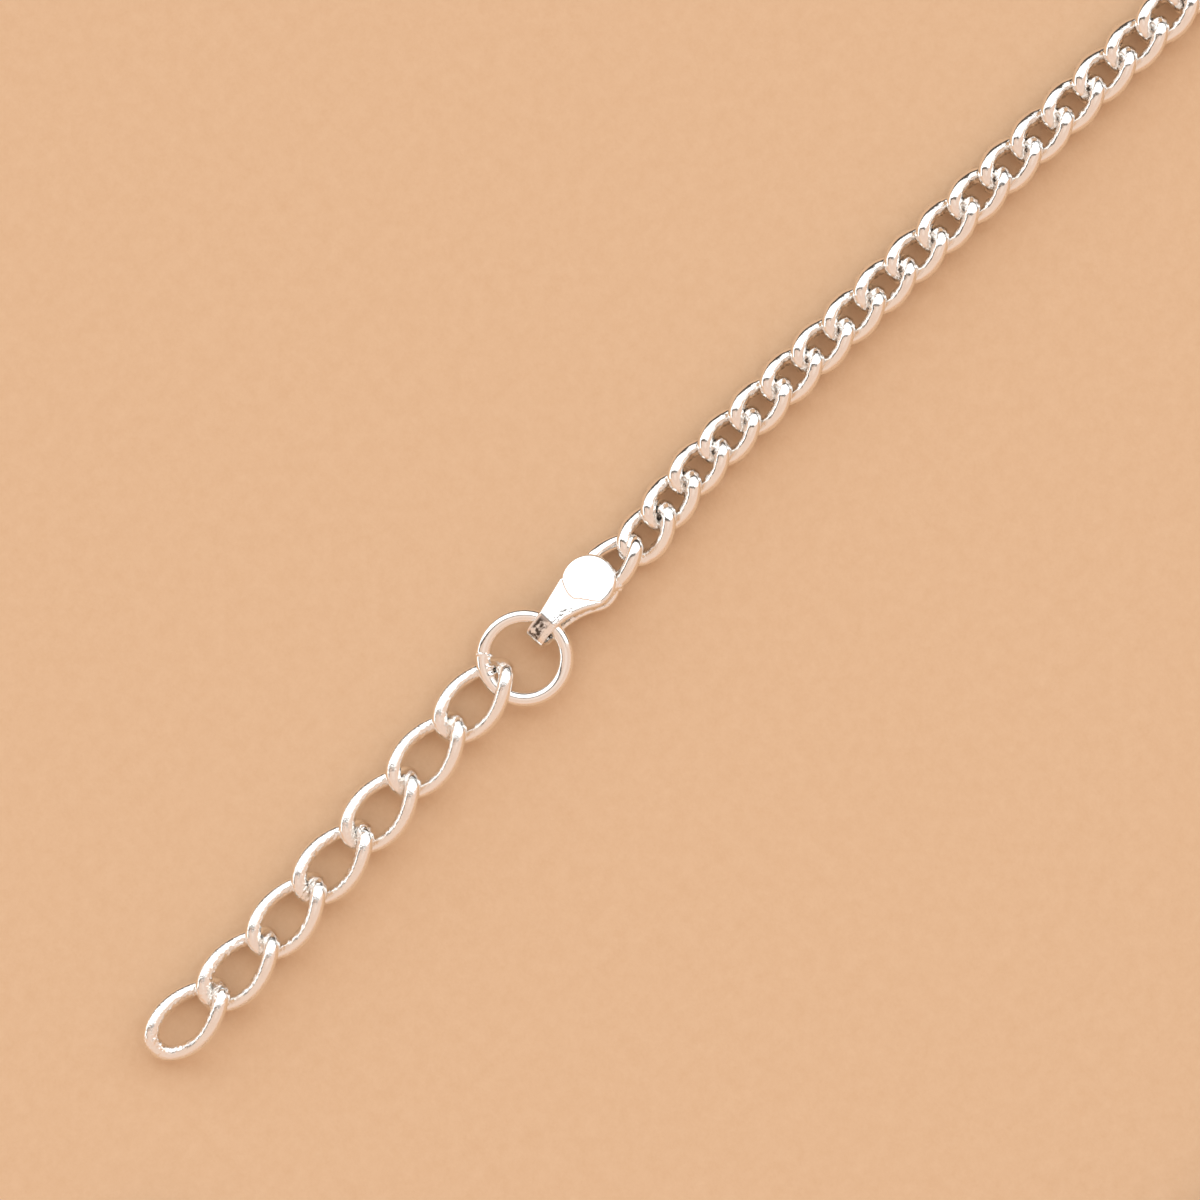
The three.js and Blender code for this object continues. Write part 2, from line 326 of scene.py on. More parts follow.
def wire_round(line, across, radius, around):
    """Closed tube along a closed line. Each ring is spanned by the across direction, squared off against
    the line, and by the direction at right angles to both. The radius is one number or a grid of them."""
    ahead = np.roll(line, -1, -2) - np.roll(line, 1, -2)
    ahead /= np.linalg.norm(ahead, axis=-1, keepdims=True)
    up = across - (across * ahead).sum(-1, keepdims=True) * ahead
    up /= np.linalg.norm(up, axis=-1, keepdims=True)
    side = np.cross(ahead, up)
    turn = 2 * np.pi * np.arange(around) / around
    ring = np.cos(turn)[:, None] * up[..., None, :] + np.sin(turn)[:, None] * side[..., None, :]
    return line[..., None, :] + np.broadcast_to(radius, ring.shape[:-1])[..., None] * ring


def closed_quads(steps, around, copies=1):
    """Faces of a grid that closes on itself both ways, facing out, for one tube or for several in a row."""
    i, j = np.meshgrid(np.arange(steps), np.arange(around), indexing="ij")
    next_i, next_j = (i + 1) % steps, (j + 1) % around
    corners = [i * around + j, i * around + next_j, next_i * around + next_j, next_i * around + j]
    quads = np.stack(corners, -1).reshape(-1, 4)
    return (quads[None] + steps * around * np.arange(copies)[:, None, None]).reshape(-1, 4)


def periodic_grain(seed, cells_along, cells_around, steps, around):
    """Closed value noise from -1 to 1: random heights on a coarse grid, blended to the fine one by smooth
    steps."""
    heights = np.random.default_rng(seed).uniform(-1, 1, (cells_along, cells_around))
    at_s, at_a = np.arange(steps) * cells_along / steps, np.arange(around) * cells_around / around
    i, j = at_s.astype(int), at_a.astype(int)
    fade_i, fade_j = (f * f * (3 - 2 * f) for f in (at_s - i, at_a - j))
    rows = heights[i] * (1 - fade_i)[:, None] + heights[(i + 1) % cells_along] * fade_i[:, None]
    return rows[:, j] * (1 - fade_j) + rows[:, (j + 1) % cells_around] * fade_j


def hook_swell(t, turn):
    """How much thicker the wire is, as a share: a power of cos t at both hooks, and another at the one
    ahead times how far the skin faces inwards."""
    hooks = HOOK_SWELL * np.abs(np.cos(t)) ** HOOK_POWER
    solder = SOLDER_SWELL * np.clip(np.cos(t), 0, 1) ** SOLDER_POWER
    return hooks[:, None] + solder[:, None] * np.clip(-np.sin(turn), 0, 1)


def cast_grain(t, turn, strength, seed):
    """How rough a link's skin is, from 0 to 1: a power of how far it faces inwards, and a bell curve at
    each hook, both thinned out by patchy noise."""
    inner = np.clip(INNER_PAST - np.sin(turn), 0, 1 + INNER_PAST) / (1 + INNER_PAST)
    hooks = np.exp(-((1 - np.abs(np.cos(t))) / HOOK_REACH) ** 2)[:, None]
    patch = np.clip(PATCH_MIDDLE + PATCH_SWING * periodic_grain(seed, *PATCH_CELLS, len(t), len(turn)), 0, 1)
    skin = inner**INNER_POWER * (PATCH_LEAST + (1 - PATCH_LEAST) * patch) + HOOK_GRAIN * hooks * patch
    return np.clip(strength * skin, 0, 1)


def silver_material(name, grain_size, grain_deep):
    """Polished silver: full metal, nearly white, with sharp reflections that the wheel has smeared a
    little. Grains roughen it where the mesh's own grain says that the cast skin was not reached. They
    are drawn a little coarser than real ones, so that they show."""
    material, tree = new_material(name)
    place = add_node(tree, "ShaderNodeTexCoord", {})
    smear = add_node(tree, "ShaderNodeTexNoise", {"Scale": 1 / (SMEAR_SIZE * MM), "Detail": 3.0},
                     [("Vector", place, "Object")])
    gloss = add_node(tree, "ShaderNodeMapRange",
                     {"To Min": POLISH * SMEAR_LEAST, "To Max": POLISH * SMEAR_MOST},
                     [("Value", smear, "Fac")])
    grain = add_node(tree, "ShaderNodeTexNoise", {"Scale": 1 / (grain_size * MM), "Detail": 3.0},
                     [("Vector", place, "Object")])
    share = add_node(tree, "ShaderNodeAttribute", {"attribute_name": "grain"})
    bump = add_node(tree, "ShaderNodeBump", {"Distance": grain_deep * MM},
                    [("Height", grain, "Fac"), ("Strength", share, "Fac")])
    metal = add_node(tree, "ShaderNodeBsdfPrincipled", {"Base Color": linear(SILVER), "Metallic": 1.0},
                     [("Roughness", gloss, "Result"), ("Normal", bump, "Normal")])
    add_node(tree, "ShaderNodeOutputMaterial", {}, [("Surface", metal, "BSDF")])
    return material


route = smooth_route(CHAIN_ROUTE, ROUTE_STEPS)
route_length = along_route(route, 0)[2]
second_at = FIRST_LINK_AT + FIRST_PITCH
link_at = np.concatenate([[FIRST_LINK_AT],
                          np.linspace(second_at, route_length - LAST_LINK_BACK, LINK_COUNT - 1)])
link_place, link_heading, _ = along_route(route, link_at)
line, across = twisted_oval(CHAIN_LENGTH, CHAIN_WIDTH, CHAIN_WIRE, CHAIN_FULLNESS,
                            lambda c: CHAIN_ROLL - CHAIN_TWIST * c, CHAIN_STEPS)
t = 2 * np.pi * np.arange(CHAIN_STEPS) / CHAIN_STEPS
around = 2 * np.pi * np.arange(CHAIN_AROUND) / CHAIN_AROUND
grain = SMOOTH + cast_grain(t, around, CHAIN_GRAIN, CHAIN_GRAIN_SEED)
bare = CHAIN_WIRE / 2 * (1 + hook_swell(t, around))

# The links take turns between three shapes, which differ only in where their single grains stand.
shapes = np.stack([
    wire_round(line, across,
               bare + CHAIN_GRAIN_HIGH * grain * periodic_grain(seed, *grain.shape, *grain.shape),
               CHAIN_AROUND)
    for seed in CHAIN_SEEDS])
wobble = np.random.default_rng(WOBBLE_SEED).uniform(-1, 1, (2, LINK_COUNT, 1, 1))
links = turned(turned(shapes[np.arange(LINK_COUNT) % len(shapes)], 0, WOBBLE_ROLL * wobble[0]), 2,
               np.degrees(link_heading)[:, None, None] + CHAIN_YAW + WOBBLE_YAW * wobble[1])
links[..., :2] += link_place[:, None, None]
links[..., 2] += CHAIN_MIDDLE_Z
mesh_piece("curb_chain", links.reshape(-1, 3), closed_quads(CHAIN_STEPS, CHAIN_AROUND, LINK_COUNT),
           silver_material("bright_chain_silver", grain_size=0.07, grain_deep=0.026),
           "chain_silver", "chain_run", grain=np.tile(grain.ravel(), LINK_COUNT))

# --- The leaf tag -------------------------------------------------------------------------------
# A strip of silver sheet pressed with a round pad at each end, folded over the jump ring and closed on
# the chain's last link. Solder run in between the pads holds both, and has left grains behind.

TAG_SHEET = 0.28
TAG_GAP = 0.73
TAG_SLOPE = 4.2
PAD_RADIUS = 0.99
WAIST_STRAIGHT, WAIST_HOLLOW = 0.46, 0.31
NECK = 2.31
STRAIGHT_TANGENT, STRAIGHT_POWER = 115.7, 1.0
HOLLOW_TANGENT, HOLLOW_POWER = 123.5, 2.36
EDGE_ROUND = 0.13
BEND_FROM = -1.6
NICK_X, NICK_DEEP, NICK_WIDE = -0.53, 0.05, 0.05
LUMPS, LUMPS_FROM, LUMPS_FADE, LUMPS_REACH = 0.3, -0.9, 0.5, 0.12
LUMP_SEED, LUMP_CELLS = 21, (110, 30)
TAG_PLACE = [3.568, 0.054, 0.251]
TAG_ROLL, TAG_PITCH, TAG_YAW = -14.5, -1.9, 2.4
FOLD_OUTER = TAG_GAP / 2 + TAG_SHEET
LEAF_STEPS, FOLD_STEPS, ACROSS_STEPS = 140, 40, 60


def leaf_edge(x, tangent_degrees, power, waist):
    """How far one edge of a leaf lies from its axis: the pad's circle as far as the tangent's angle, then
    a power curve down to the waist."""
    tangent = math.radians(tangent_degrees)
    start = PAD_RADIUS * math.cos(tangent)
    height = PAD_RADIUS * math.sin(tangent)
    circle = np.sqrt(np.maximum(PAD_RADIUS**2 - np.maximum(x, start) ** 2, 0))
    share = np.clip((x + NECK) / (start + NECK), 0, 1)
    return np.where(x > start, circle, waist + (height - waist) * share**power)


def hollow_edge(x):
    """The leaf's hollow edge, on the side where the solder shows."""
    return leaf_edge(x, HOLLOW_TANGENT, HOLLOW_POWER, WAIST_HOLLOW)


def straight_edge(x):
    """The leaf's nearly straight edge, less a bell curve for the small nick where the pad was struck."""
    nick = NICK_DEEP * np.exp(-(((x - NICK_X) / NICK_WIDE) ** 2))
    return leaf_edge(x, STRAIGHT_TANGENT, STRAIGHT_POWER, WAIST_STRAIGHT) - nick


def tag_strip(leaf_steps, fold_steps, across_steps):
    """The folded strip as one closed grid. Along the strip run the upper leaf, the half-round fold and the
    lower leaf. Across it a loop goes over the outer face and back under the inner one, and the sheet rounds
    off at its edge along a quarter ellipse. The outer face eases into the fold along a longer ellipse of
    its own, and lumps of solder thicken the hollow edge towards the fold."""
    beta = np.linspace(0, np.pi / 2, leaf_steps)
    leaf_x = -NECK + (NECK + PAD_RADIUS) * np.sin(beta)
    middle_radius = (TAG_GAP + TAG_SHEET) / 2
    angle = np.linspace(0, np.pi, fold_steps + 2)[1:-1]
    rise = np.tan(np.radians(TAG_SLOPE))
    upper = np.stack([leaf_x[::-1], TAG_GAP + 1.5 * TAG_SHEET - (leaf_x[::-1] + NECK) * rise], -1)
    bend = np.stack([-NECK - middle_radius * np.sin(angle),
                     TAG_SHEET / 2 + middle_radius * (1 + np.cos(angle))], -1)
    lower = np.stack([leaf_x, np.full_like(leaf_x, TAG_SHEET / 2)], -1)
    spine = np.vstack([upper, bend, lower])
    flat_x = np.concatenate([leaf_x[::-1], np.full(fold_steps, -NECK), leaf_x])
    ahead = np.gradient(spine, axis=0)
    ahead /= np.linalg.norm(ahead, axis=1, keepdims=True)
    outward = np.stack([ahead[:, 1], -ahead[:, 0]], -1)
    plus = straight_edge(flat_x)
    minus = hollow_edge(flat_x)
    alpha = np.linspace(-np.pi / 2, np.pi / 2, across_steps)
    y = ((plus - minus) / 2)[:, None] + ((plus + minus) / 2)[:, None] * np.sin(alpha)
    to_edge = np.minimum(plus[:, None] - y, y + minus[:, None])
    to_rim = PAD_RADIUS - np.hypot(flat_x[:, None], y)
    depth = np.where(flat_x[:, None] > 0, np.maximum(to_rim, 0), to_edge)
    half = TAG_SHEET / 2 * np.sqrt(1 - (1 - np.clip(depth / EDGE_ROUND, 0, 1)) ** 2)
    near_fold = np.clip((LUMPS_FROM - flat_x) / LUMPS_FADE, 0, 1)[:, None]
    lumpy = near_fold * np.exp(-(y + minus[:, None]) / LUMPS_REACH)
    half *= 1 + LUMPS * lumpy * periodic_grain(LUMP_SEED, *LUMP_CELLS, *half.shape)
    faces = []
    for sign, columns in ((1, slice(None)), (-1, slice(-2, 0, -1))):
        offset = sign * half[:, columns, None] * outward[:, None]
        faces.append(np.stack([spine[:, None, 0] + offset[..., 0], y[:, columns],
                               spine[:, None, 1] + offset[..., 1]], -1))
    strip = np.concatenate(faces, 1)
    reach = np.clip((BEND_FROM - strip[..., 0]) / (BEND_FROM + NECK + FOLD_OUTER), 0, 1)
    ceiling = FOLD_OUTER * (1 + np.sqrt(1 - reach**2))
    outer = np.zeros(strip.shape[:2], bool)
    outer[:, :across_steps] = True
    high = strip[..., 2] > FOLD_OUTER
    strip[..., 2] = np.where(outer & high, np.minimum(strip[..., 2], ceiling), strip[..., 2])
    return strip


def strip_quads(steps, around):
    """Faces of a grid that closes on itself only across the strip."""
    quads = closed_quads(steps, around).reshape(steps, around, 4)
    return quads[:-1].reshape(-1, 4)


# Solder fills the gap under the pad. It keeps inside the leaf's outline, its wall is hollowed, and it
# sinks a little into both leaves. A few beads of it have run out beside the pad.
SOLDER_INSET = 0.09
SOLDER_HOLLOW = 0.08
SOLDER_BACK, SOLDER_FRONT = -1.62, 0.86
SOLDER_TAPER = 0.4
SOLDER_SUNK = 0.04
SOLDER_ROUGH = 0.05
SOLDER_AROUND, SOLDER_LEVELS, SOLDER_SEED = 160, 12, 3
SOLDER_BEADS = np.array([
    # x, y, z, radius
    [0.66, -0.78, 0.56, 0.17],
    [0.56, -0.86, 0.43, 0.13],
    [0.78, -0.72, 0.64, 0.11],
    [0.72, -0.84, 0.42, 0.1],
])
BEAD_ROWS, BEAD_AROUND = 24, 32
BEAD_ROUGH = 0.15


def solder_fill(around, levels, seed):
    """Solder between the leaves: an outline inside the leaf's, carried up the gap and drawn in half way by
    a sine hollow, with grains on it, and closed to a point at both ends."""
    turn = 2 * np.pi * np.arange(around) / around
    middle, half_long = (SOLDER_FRONT + SOLDER_BACK) / 2, (SOLDER_FRONT - SOLDER_BACK) / 2
    x = middle + half_long * np.cos(turn)
    leaf = np.where(np.sin(turn) > 0, straight_edge(x), hollow_edge(x)) - SOLDER_INSET
    taper = np.clip((SOLDER_BACK + SOLDER_TAPER - x) / SOLDER_TAPER, 0, 1)
    back = np.sqrt(np.clip(1 - taper**2, 0, 1))
    front = np.sqrt(np.clip((PAD_RADIUS - SOLDER_INSET) ** 2 - np.maximum(x, 0) ** 2, 0, None))
    y = np.sign(np.sin(turn)) * np.minimum(leaf, front) * back
    level = np.concatenate([[0, 0], np.linspace(0, 1, levels), [1, 1]])
    hollow = 1 - SOLDER_HOLLOW * np.sin(np.pi * np.linspace(0, 1, levels))
    shrink = np.concatenate([[0, 0.5], hollow, [0.5, 0]])[:, None]
    shrink = shrink * (1 + SOLDER_ROUGH * periodic_grain(seed, levels, around // 3, levels + 4, around))
    bottom, top = TAG_SHEET - SOLDER_SUNK, TAG_SHEET + TAG_GAP + SOLDER_SUNK
    tilt = np.tan(np.radians(TAG_SLOPE))
    z = bottom + level[:, None] * (top - bottom - (x + NECK) * tilt)
    return np.stack([middle + (x - middle) * shrink, y * shrink, z], -1)


def unit_ball(rows, around):
    """Points of a ball of radius 1, in rows from pole to pole: sines and cosines of its two angles."""
    polar = np.linspace(0, np.pi, rows)[:, None]
    turn = 2 * np.pi * np.arange(around) / around
    return np.stack(np.broadcast_arrays(np.sin(polar) * np.cos(turn), np.sin(polar) * np.sin(turn),
                                        np.cos(polar)), -1)


def grain_ball(centre, radius, rows, around, seed):
    """A rough bead: a ball whose radius rises and falls with closed noise, less towards its poles."""
    noise = periodic_grain(seed, rows // 3, around // 3, rows, around)
    rough = radius * (1 + BEAD_ROUGH * np.sin(np.linspace(0, np.pi, rows)[:, None]) * noise)
    return np.asarray(centre) + rough[..., None] * unit_ball(rows, around)


# The pad's crease runs round its middle from the nick to the far edge: angles in degrees and distances
# in mm. Past both ends the distance is off the pad.
CREASE = np.array([
    [0, 1.3], [112, 1.3], [122, 1.0], [137, 0.91], [152, 0.86], [170, 0.84], [186, 0.81], [201, 0.7],
    [223, 0.69], [244, 0.8], [262, 0.95], [275, 1.3], [360, 1.3],
])
CREASE_WIDE, CREASE_DEEP = 0.045, 0.014

# Where the painted dark reflection in the bend starts and ends along the strip, and its two sides, each
# with how far from the bend's own edge it stands off and how wide it fades.
REFLECTION_PATCH_START, REFLECTION_PATCH_START_FADE = 0.3, 0.25
REFLECTION_PATCH_END, REFLECTION_PATCH_END_FADE = 0.12, 0.08
REFLECTION_PATCH_HOLLOW, REFLECTION_PATCH_HOLLOW_FADE = 0.12, 0.1
REFLECTION_PATCH_STRAIGHT, REFLECTION_PATCH_STRAIGHT_FADE = 0.06, 0.06
# Colour of the painted dark reflection in the bend.
PAINTED_DARK_REFLECTION = "#5c534c"
SPOT_SIZE, SPOT_FROM, SPOT_FULL = 0.2, 0.38, 0.5
SHEET_POLISH, REFLECTION_PATCH_POLISH = 0.14, 0.35

# How rough the sheet is: hardly at all on the flat, and fully where solder ran over its hollow edge.
SHEET_LEAST = 0.03
RUN_REACH, RUN_FROM, RUN_FADE = 0.12, -0.6, 0.6
SHEET_GRAIN_SIZE, SHEET_GRAIN_DEEP = 0.08, 0.013


def crease_distance(points):
    """How far a point of the sheet lies from the crease: its distance from the pad's middle less the
    crease's own at that angle."""
    angle = np.degrees(np.arctan2(points[..., 1], points[..., 0])) % 360
    return np.hypot(points[..., 0], points[..., 1]) - np.interp(angle, *CREASE.T)


def in_bend(points):
    """Share of the painted dark reflection: it fades in past the start of the upper face's bend, and out
    before the bend's end and before both of its sides."""
    along = (BEND_FROM - REFLECTION_PATCH_START - points[..., 0]) / REFLECTION_PATCH_START_FADE
    end = (points[..., 0] + NECK + FOLD_OUTER - REFLECTION_PATCH_END) / REFLECTION_PATCH_END_FADE
    side = np.minimum((points[..., 1] + REFLECTION_PATCH_HOLLOW) / REFLECTION_PATCH_HOLLOW_FADE,
                      (WAIST_STRAIGHT - REFLECTION_PATCH_STRAIGHT - points[..., 1]) / REFLECTION_PATCH_STRAIGHT_FADE)
    return along.clip(0, 1) * end.clip(0, 1) * side.clip(0, 1) * (points[..., 2] > TAG_GAP)


def near_solder(points):
    """Share of roughness on the sheet: it falls off from the hollow edge by a power of e, and comes in
    towards the fold."""
    side = np.exp((-points[..., 1] - hollow_edge(points[..., 0])) / RUN_REACH).clip(0, 1)
    return SHEET_LEAST + side * ((RUN_FROM - points[..., 0]) / RUN_FADE).clip(0, 1)


def pressed_sheet_material():
    """Pressed sheet silver: bright on the flat, grained where solder ran, with a faint crease pressed
    across the pad, and a painted dark reflection in the bend that darkens its colour in mottled spots."""
    material, tree = new_material("pressed_sheet_silver")
    place = add_node(tree, "ShaderNodeTexCoord", {})
    share = add_node(tree, "ShaderNodeAttribute", {"attribute_name": "grain"})
    grain = add_node(tree, "ShaderNodeTexNoise", {"Scale": 1 / (SHEET_GRAIN_SIZE * MM), "Detail": 3.0},
                     [("Vector", place, "Object")])
    skin = add_node(tree, "ShaderNodeBump", {"Distance": SHEET_GRAIN_DEEP * MM},
                    [("Height", grain, "Fac"), ("Strength", share, "Fac")])
    apart = add_node(tree, "ShaderNodeAttribute", {"attribute_name": "crease"})
    off = add_node(tree, "ShaderNodeMath", {"operation": "ABSOLUTE"}, [(0, apart, "Fac")])
    wide = add_node(tree, "ShaderNodeMapRange", {"From Max": CREASE_WIDE}, [("Value", off, 0)])
    crease = add_node(tree, "ShaderNodeBump", {"Strength": 1.0, "Distance": CREASE_DEEP * MM},
                      [("Height", wide, "Result"), ("Normal", skin, "Normal")])
    spots = add_node(tree, "ShaderNodeTexNoise",
                     {"Scale": 1 / (SPOT_SIZE * MM), "Detail": 4.0, "Roughness": 0.6},
                     [("Vector", place, "Object")])
    patchy = add_node(tree, "ShaderNodeMapRange", {"From Min": SPOT_FROM, "From Max": SPOT_FULL},
                      [("Value", spots, "Fac")])
    # The bend's colour is darkened in mottled spots: a painted dark reflection.
    bend = add_node(tree, "ShaderNodeAttribute", {"attribute_name": "tarnish"})
    dark = add_node(tree, "ShaderNodeMath", {"operation": "MULTIPLY"},
                    [(0, patchy, "Result"), (1, bend, "Fac")])
    colour = add_node(tree, "ShaderNodeMix",
                      {"data_type": "RGBA", 6: linear(SILVER), 7: linear(PAINTED_DARK_REFLECTION)}, [(0, dark, 0)])
    gloss = add_node(tree, "ShaderNodeMapRange", {"To Min": SHEET_POLISH, "To Max": REFLECTION_PATCH_POLISH},
                     [("Value", bend, "Fac")])
    metal = add_node(tree, "ShaderNodeBsdfPrincipled", {"Metallic": 1.0},
                     [("Base Color", colour, 2), ("Roughness", gloss, "Result"),
                      ("Normal", crease, "Normal")])
    add_node(tree, "ShaderNodeOutputMaterial", {}, [("Surface", metal, "BSDF")])
    return material


def in_place(points):
    """From the tag's own frame to the layout: rolled, pitched and yawed, then moved to its place."""
    return turned(turned(turned(points, 0, TAG_ROLL), 1, TAG_PITCH), 2, TAG_YAW) + np.array(TAG_PLACE)


tag = tag_strip(LEAF_STEPS, FOLD_STEPS, ACROSS_STEPS)
fill = solder_fill(SOLDER_AROUND, SOLDER_LEVELS, SOLDER_SEED)
beads = [grain_ball(bead[:3], bead[3], BEAD_ROWS, BEAD_AROUND, seed)
         for seed, bead in enumerate(SOLDER_BEADS)]

# The chain's link that is soldered in. Its lean holds still inside the tag, then turns evenly to its end.
TAG_LINK_PLACE = [4.65, 0.19, 0.76]
TAG_LINK_PITCH = 2
TAG_LINK_LEAN, TAG_LINK_END_LEAN = -14.5, -62
TAG_LINK_TWIST_FROM = -0.3
TAG_LINK_STEPS, TAG_LINK_AROUND = 96, 24

line, across = twisted_oval(
    CHAIN_LENGTH, CHAIN_WIDTH, CHAIN_WIRE, CHAIN_FULLNESS,
    lambda c: TAG_LINK_LEAN + (TAG_LINK_END_LEAN - TAG_LINK_LEAN)
    * np.maximum(0, (c - TAG_LINK_TWIST_FROM) / (1 - TAG_LINK_TWIST_FROM)), TAG_LINK_STEPS)
tag_link = turned(wire_round(line, across, CHAIN_WIRE / 2, TAG_LINK_AROUND), 1, TAG_LINK_PITCH)
tag_link += np.array(TAG_LINK_PLACE)

ROUGH, NO_CREASE, NO_REFLECTION_PATCH = 1.0, 1.0, 0.0
tag_parts = [
    # points, faces, grain, crease, painted reflection
    (in_place(tag), strip_quads(*tag.shape[:2]), near_solder(tag), crease_distance(tag), in_bend(tag)),
    (in_place(fill), strip_quads(*fill.shape[:2]), ROUGH, NO_CREASE, NO_REFLECTION_PATCH),
    (tag_link, closed_quads(*tag_link.shape[:2]), SMOOTH, NO_CREASE, NO_REFLECTION_PATCH),
    *[(in_place(bead), strip_quads(*bead.shape[:2])[:, ::-1], ROUGH, NO_CREASE, NO_REFLECTION_PATCH)
      for bead in beads],
]
counts = np.cumsum([0] + [points[..., 0].size for points, *_ in tag_parts])
shares = [np.concatenate([np.broadcast_to(part[k], part[0].shape[:2]).ravel() for part in tag_parts])
          for k in (2, 3, 4)]
mesh_piece("leaf_tag_sheet", np.vstack([part[0].reshape(-1, 3) for part in tag_parts]),
           np.vstack([part[1] + count for part, count in zip(tag_parts, counts)]),
           pressed_sheet_material(), "tag_silver", "leaf_tag",
           grain=shares[0], crease=shares[1], tarnish=shares[2])

# --- The jump ring ------------------------------------------------------------------------------
# Round silver wire, half a millimetre thick, closed with solder and polished. It stays bright all
# round, apart from the solder's grains, which fill most of the gap towards the first link.

RING_RADIUS = 1.485
RING_WIRE = 0.55
RING_MIDDLE_Z = 0.798
RING_STEPS, RING_AROUND = 360, 48
SEAM_ANGLE, SEAM_SPREAD, SEAM_HIGH, SEAM_POWER = 131, 1.3, 0.06, 0.5
GRAIN_ANGLES = (132, 151, 163)
GRAINS_SPREAD, GRAINS_HIGH = 4, 0.12
GRAINS_MIDDLE, GRAINS_SWING = 0.7, 0.6
GRAINS_SEED, GRAINS_CELLS = 11, (130, 16)
RING_ROUGH, RING_ROUGH_SPREAD, RING_ROUGH_PAST = 0.9, 5, 0.2


def near_angle(turn, degrees, spread):
    """Bell curve round one angle of the ring, spread in degrees."""
    apart = (np.degrees(turn) - degrees + 180) % 360 - 180
    return np.exp(-((apart / spread) ** 2))[:, None]


turn = 2 * np.pi * np.arange(RING_STEPS) / RING_STEPS
line = np.stack([RING_RADIUS * np.cos(turn), RING_RADIUS * np.sin(turn),
                 np.full(RING_STEPS, RING_MIDDLE_Z)], -1)
face_out = np.sin(2 * np.pi * np.arange(RING_AROUND) / RING_AROUND)
lumps = GRAINS_MIDDLE + GRAINS_SWING * periodic_grain(GRAINS_SEED, *GRAINS_CELLS, RING_STEPS, RING_AROUND)
seam = SEAM_HIGH * near_angle(turn, SEAM_ANGLE, SEAM_SPREAD) * np.clip(face_out, 0, 1) ** SEAM_POWER
heaps = sum(near_angle(turn, angle, GRAINS_SPREAD) for angle in GRAIN_ANGLES)
grains = GRAINS_HIGH * heaps * np.clip(-face_out, 0, 1) ** 2 * lumps
ring = wire_round(line, np.broadcast_to([0.0, 0.0, 1.0], line.shape), RING_WIRE / 2 + seam + grains,
                  RING_AROUND)
rough = sum(near_angle(turn, angle, RING_ROUGH_SPREAD) for angle in GRAIN_ANGLES)
mesh_piece("jump_ring_wire", ring.reshape(-1, 3), closed_quads(RING_STEPS, RING_AROUND),
           silver_material("drawn_wire_silver", grain_size=0.07, grain_deep=0.015),
           "ring_silver", "jump_ring",
           grain=SMOOTH + RING_ROUGH * rough * (RING_ROUGH_PAST - face_out).clip(0, 1))

# --- The extension ------------------------------------------------------------------------------
# Seven larger twisted oval links of the same wire, plated over a slightly rough cast of solder. The
# plating is as bright as the chain, but its skin is a little uneven everywhere.

EXT_WIRE = 0.55
EXT_LENGTH = 3.68
EXT_WIDTH = 2.35
EXT_FULLNESS = 0.82
EXT_TWIST = 43
EXT_ROLL = -16
EXT_MIDDLE_Z = 0.78
EXT_STEPS, EXT_AROUND = 320, 48
EXT_SKIN = 0.5
EXTENSION_ROW = np.array([
    # along, across, turn, roll, pitch
    [-2.30, 0.18, 3.0, -2.45, -1.7],
    [-4.87, -0.01, 5.0, 0, 0],
    [-7.42, -0.22, 4.0, 0, 0],
    [-9.94, -0.36, 2.5, 0, 0],
    [-12.46, -0.54, 4.5, 0, 0],
    [-15.02, -0.66, 0.5, 0, 0],
    [-17.57, -0.62, -2.5, 0, 0],
])
EXT_GRAIN = [0.5, 0.55, 0.6, 0.8, 0.8, 1.0, 1.0]
EXT_GRAIN_HIGH = 0.04
COARSE_SEED, COARSE_CELLS, COARSE_LEAST = 50, (90, 18), -0.2
FINE_SEED, FINE_CELLS, FINE_SHARE = 90, (150, 30), 0.5


def proud_grains(share, seed):
    """How far the skin stands proud: the grain's share times a coarse noise, kept from sinking deep, and
    half a fine one."""
    coarse = np.clip(periodic_grain(seed + COARSE_SEED, *COARSE_CELLS, *share.shape), COARSE_LEAST, 1)
    fine = periodic_grain(seed + FINE_SEED, *FINE_CELLS, *share.shape)
    return EXT_GRAIN_HIGH * share * (coarse + FINE_SHARE * fine)


plated = silver_material("plated_link_silver", grain_size=0.06, grain_deep=0.018)
t = 2 * np.pi * np.arange(EXT_STEPS) / EXT_STEPS
around = 2 * np.pi * np.arange(EXT_AROUND) / EXT_AROUND
line, across = twisted_oval(EXT_LENGTH, EXT_WIDTH, EXT_WIRE, EXT_FULLNESS,
                            lambda c: EXT_ROLL - EXT_TWIST * c, EXT_STEPS)
for number, (x, y, yaw, roll, pitch) in enumerate(EXTENSION_ROW, 1):
    share = cast_grain(t, around, EXT_GRAIN[number - 1], number)
    radius = EXT_WIRE / 2 * (1 + hook_swell(t, around)) + proud_grains(share, number)
    link = wire_round(line, across, radius, EXT_AROUND)
    link = turned(turned(turned(link, 0, roll), 1, pitch), 2, yaw) + np.array([x, y, EXT_MIDDLE_Z])
    mesh_piece(f"extension_link_{number}_wire", link.reshape(-1, 3), closed_quads(EXT_STEPS, EXT_AROUND),
               plated, "extension_silver", f"extension_link_{number}", grain=np.maximum(EXT_SKIN, share))

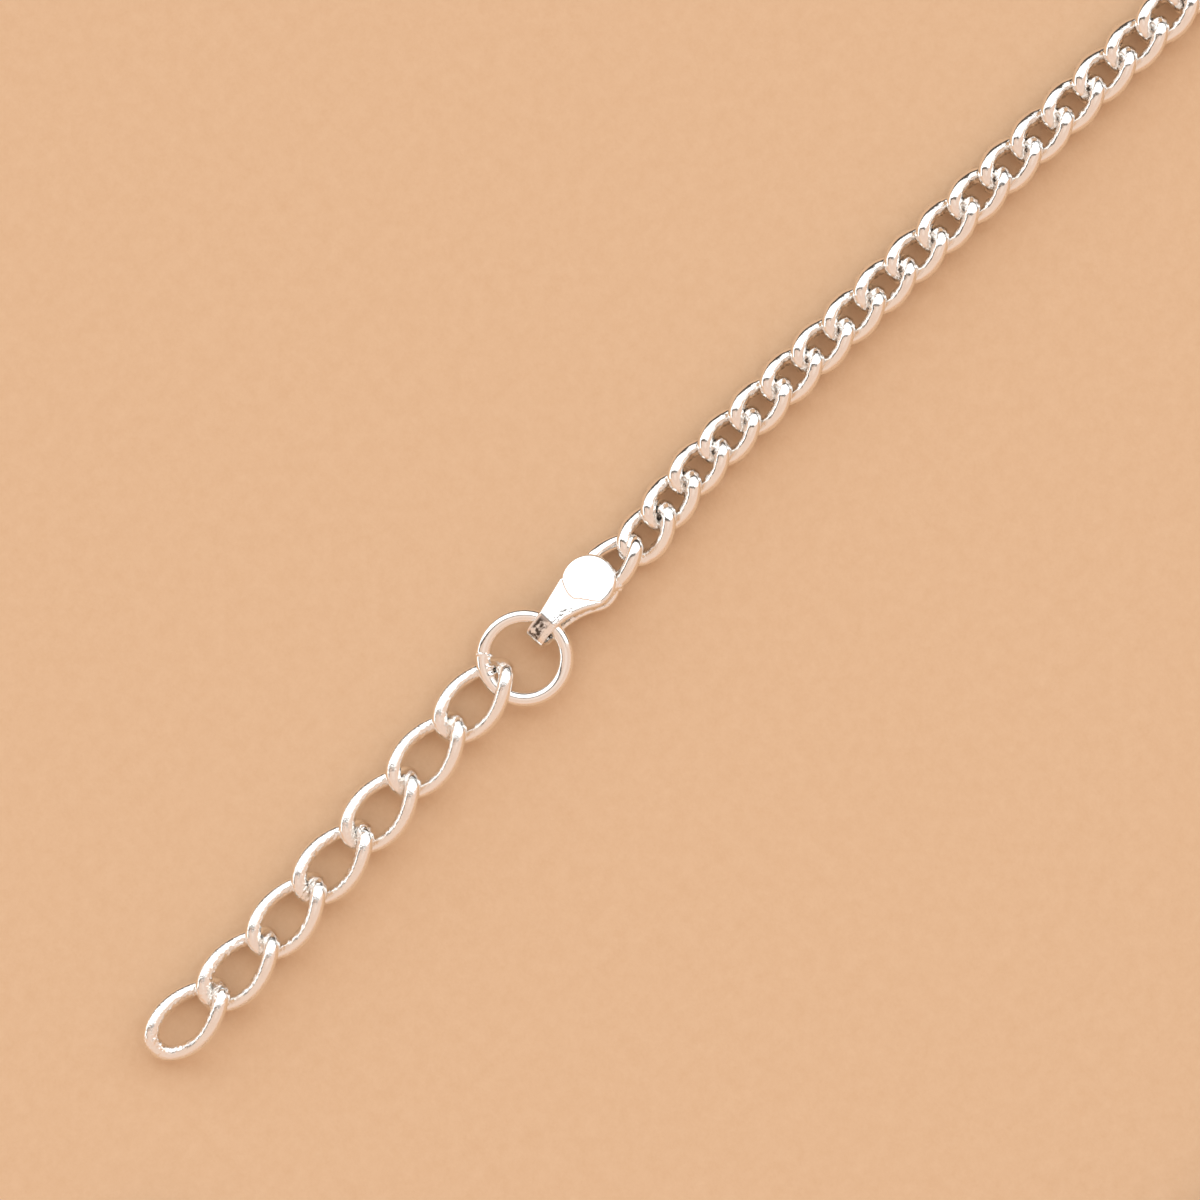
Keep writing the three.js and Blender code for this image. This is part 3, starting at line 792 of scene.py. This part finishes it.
# --- The clasp ----------------------------------------------------------------------------------
# A plain spring ring of bright silver: a closed tube ring, a thumb nub, and a small eye that is
# soldered on at a tilt, so that its wire passes squarely through the chain's last link.

CLASP_RADIUS = 2.05
CLASP_WIRE = 0.9
CLASP_STEPS, CLASP_AROUND = 120, 36
EYE_RADIUS = 0.72
EYE_WIRE = 0.5
EYE_TILT = 29
EYE_RAISE = 0.25
EYE_STEPS, EYE_AROUND = 72, 24
NUB_RADIUS = 0.38
NUB_ANGLE = 126
NUB_ROWS, NUB_AROUND = 16, 24
CLASP_PLACE = [-25.314, -6.525, CLASP_WIRE / 2]
CLASP_TURN = 118.8


def flat_ring(radius, wire, steps, around):
    """Torus round Z: a wire's ring carried round a circle."""
    angle = 2 * np.pi * np.arange(steps) / steps
    circle = np.stack([radius * np.cos(angle), radius * np.sin(angle), 0 * angle], -1)
    return wire_round(circle, np.broadcast_to([0.0, 0.0, 1.0], circle.shape), wire / 2, around)


body = flat_ring(CLASP_RADIUS, CLASP_WIRE, CLASP_STEPS, CLASP_AROUND)
eye = turned(flat_ring(EYE_RADIUS, EYE_WIRE, EYE_STEPS, EYE_AROUND), 0, EYE_TILT)
eye += np.array([-(CLASP_RADIUS + CLASP_WIRE / 2 + EYE_RADIUS), 0, EYE_RAISE])
nub = NUB_RADIUS * unit_ball(NUB_ROWS, NUB_AROUND)
nub = turned(nub + np.array([CLASP_RADIUS, 0, CLASP_WIRE / 2]), 2, NUB_ANGLE)
clasp = turned(np.vstack([part.reshape(-1, 3) for part in (body, eye, nub)]), 2, CLASP_TURN)
clasp += np.array(CLASP_PLACE)
eye_start = CLASP_STEPS * CLASP_AROUND
nub_start = eye_start + EYE_STEPS * EYE_AROUND
faces = np.vstack([closed_quads(CLASP_STEPS, CLASP_AROUND), closed_quads(EYE_STEPS, EYE_AROUND) + eye_start,
                   strip_quads(NUB_ROWS, NUB_AROUND)[:, ::-1] + nub_start])
mesh_piece("spring_ring_clasp", clasp, faces,
           silver_material("clasp_bright_silver", grain_size=0.15, grain_deep=0.015),
           "clasp_silver", "clasp", grain=np.full(len(clasp), SMOOTH))
